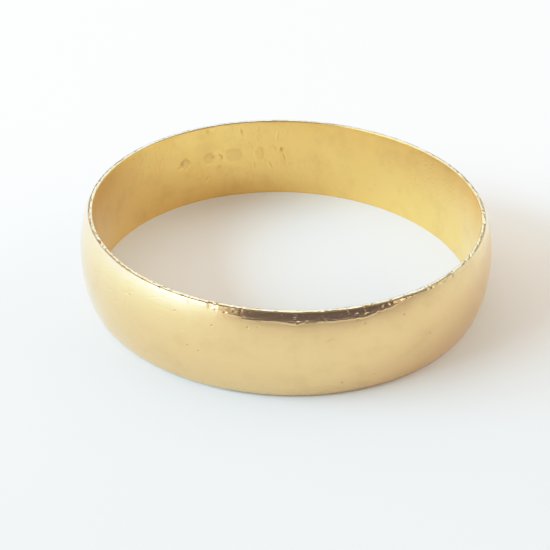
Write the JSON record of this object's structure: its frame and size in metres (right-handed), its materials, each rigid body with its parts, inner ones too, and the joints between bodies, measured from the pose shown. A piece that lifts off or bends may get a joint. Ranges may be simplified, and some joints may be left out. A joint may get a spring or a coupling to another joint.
{
  "type": "wedding band",
  "caption": "Plain gold wedding band of D section, flat inside and domed outside, with thin flat rims, worn all over, and a row of small plain punch marks in the bore.",
  "frame": {"origin": "on the band's axis, in the plane of the lower rim that it rests on", "axes": "+Z along the finger, from the lower rim to the upper rim; +X to the right and +Y to the back as the band lies; the soldered joint is near -X"},
  "size_m": [0.0182, 0.0182, 0.004],
  "materials": {
    "gold": "worn satin polish, yellow gold, with fine wear scratches",
    "gold_solder": "polished flush with the band, slightly paler than it"
  },
  "bodies": {
    "root": {"band_strip": "gold", "solder_seam": "gold_solder"}
  },
  "joints": []
}
